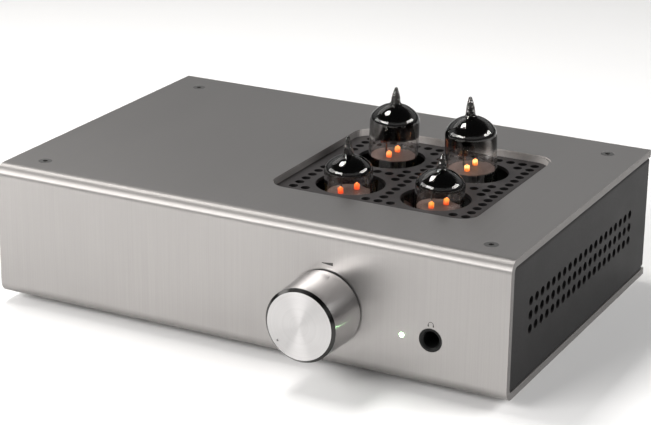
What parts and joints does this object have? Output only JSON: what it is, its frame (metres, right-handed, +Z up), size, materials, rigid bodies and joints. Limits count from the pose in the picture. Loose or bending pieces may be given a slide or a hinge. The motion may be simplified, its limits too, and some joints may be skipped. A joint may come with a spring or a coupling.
{
  "type": "headphone amplifier",
  "caption": "Low box-shaped valve headphone amplifier: bent aluminium wrap over a vented steel chassis, glass valves in a top window, round volume knob and headphone socket in front.",
  "frame": {"origin": "centre of the overall plan outline (front of the volume knob to the ends of the rear sockets), on the plane that the feet stand on", "axes": "+X to the right seen from the front, +Y to the rear, +Z up"},
  "size_m": [0.2286, 0.1826, 0.0899],
  "materials": {
    "brushed_aluminium": "brushed, satin",
    "knob_aluminium": "turned face, polished side",
    "dark_paint": "fine-grained satin paint",
    "dark_steel": "darkened",
    "zinc_steel": "zinc plated",
    "sheet_steel": "plain",
    "black_rubber": "matt",
    "led_lens": "lit, soft white",
    "black_plastic": "moulded",
    "rocker_plastic": "moulded, smooth",
    "nickel": "nickel plated",
    "socket_ceramic": "unglazed",
    "gold_plate": "gold plated",
    "white_plastic": "moulded",
    "red_plastic": "moulded",
    "board_laminate": "solder resist",
    "capacitor_sleeve": "shrink sleeve",
    "film_case": "moulded box",
    "sink_aluminium": "black anodised",
    "winding_tape": "wound tape",
    "wire_insulation": "insulated lead",
    "valve_glass": "clear, blown",
    "electrode_grey": "carbonised nickel",
    "mica": "translucent sheet",
    "heater_glow": "lit, orange",
    "fuse_glass": "cartridge"
  },
  "bodies": {
    "chassis": {"outer_wrap": "brushed_aluminium", "inner_chassis": "dark_paint", "rear_panel": "dark_paint", "case_screws": "dark_steel", "rear_panel_screws": "dark_steel", "feet": "black_rubber", "foot_screws": "zinc_steel", "pot_body": "sheet_steel", "pot_nut": "zinc_steel", "power_led": "led_lens", "headphone_jack": "black_plastic", "jack_contacts": "nickel", "valve_sockets": "socket_ceramic", "socket_contacts": "nickel", "inlet_body": "black_plastic", "inlet_blades": "nickel", "connector_screws": "dark_steel", "power_switch_body": "black_plastic", "gain_switch_body": "sheet_steel", "rca_shells": "gold_plate", "rca_insulators_white": "white_plastic", "rca_insulators_red": "red_plastic", "rca_contacts": "gold_plate", "main_board": "board_laminate", "board_standoffs": "zinc_steel", "board_screws": "zinc_steel", "electrolytic_capacitors": "capacitor_sleeve", "film_capacitors": "film_case", "regulators_and_sinks": "sink_aluminium", "transformer_winding": "winding_tape", "transformer_pads": "black_rubber", "transformer_fixings": "zinc_steel", "power_wiring": "wire_insulation"},
    "volume_control": {"volume_knob": "knob_aluminium", "knob_set_screw": "dark_steel", "pot_shaft": "zinc_steel"},
    "power_rocker": {"power_rocker": "rocker_plastic"},
    "gain_slider": {"gain_slider": "black_plastic"},
    "fuse_drawer": {"fuse_drawer": "black_plastic", "fuse": "fuse_glass"},
    "valve_front_left": {"valve_front_left_glass": "valve_glass", "valve_front_left_pins": "nickel", "valve_front_left_plates": "electrode_grey", "valve_front_left_micas": "mica", "valve_front_left_heaters": "heater_glow"},
    "valve_front_right": {"valve_front_right_glass": "valve_glass", "valve_front_right_pins": "nickel", "valve_front_right_plates": "electrode_grey", "valve_front_right_micas": "mica", "valve_front_right_heaters": "heater_glow"},
    "valve_rear_left": {"valve_rear_left_glass": "valve_glass", "valve_rear_left_pins": "nickel", "valve_rear_left_plates": "electrode_grey", "valve_rear_left_micas": "mica", "valve_rear_left_heaters": "heater_glow"},
    "valve_rear_right": {"valve_rear_right_glass": "valve_glass", "valve_rear_right_pins": "nickel", "valve_rear_right_plates": "electrode_grey", "valve_rear_right_micas": "mica", "valve_rear_right_heaters": "heater_glow"}
  },
  "joints": [
    {"name": "volume_turn", "type": "hinge", "parent": "chassis", "child": "volume_control", "pos_m": [0.0381, -0.07065, 0.0276], "axis": [0, 1, 0], "range_deg": [-21, 279]},
    {"name": "power_switch_rock", "type": "hinge", "parent": "chassis", "child": "power_rocker", "pos_m": [-0.036, 0.08015, 0.0305], "axis": [1, 0, 0], "range_deg": [-22, 0]},
    {"name": "gain_switch_slide", "type": "slide", "parent": "chassis", "child": "gain_slider", "axis": [1, 0, 0], "range_m": [0, 0.004]},
    {"name": "fuse_drawer_pull", "type": "slide", "parent": "chassis", "child": "fuse_drawer", "axis": [0, 1, 0], "range_m": [0, 0.02]},
    {"name": "valve_front_left_pull", "type": "slide", "parent": "chassis", "child": "valve_front_left", "axis": [0, 0, 1], "range_m": [0, 0.06]},
    {"name": "valve_front_right_pull", "type": "slide", "parent": "chassis", "child": "valve_front_right", "axis": [0, 0, 1], "range_m": [0, 0.06]},
    {"name": "valve_rear_left_pull", "type": "slide", "parent": "chassis", "child": "valve_rear_left", "axis": [0, 0, 1], "range_m": [0, 0.06]},
    {"name": "valve_rear_right_pull", "type": "slide", "parent": "chassis", "child": "valve_rear_right", "axis": [0, 0, 1], "range_m": [0, 0.06]}
  ]
}
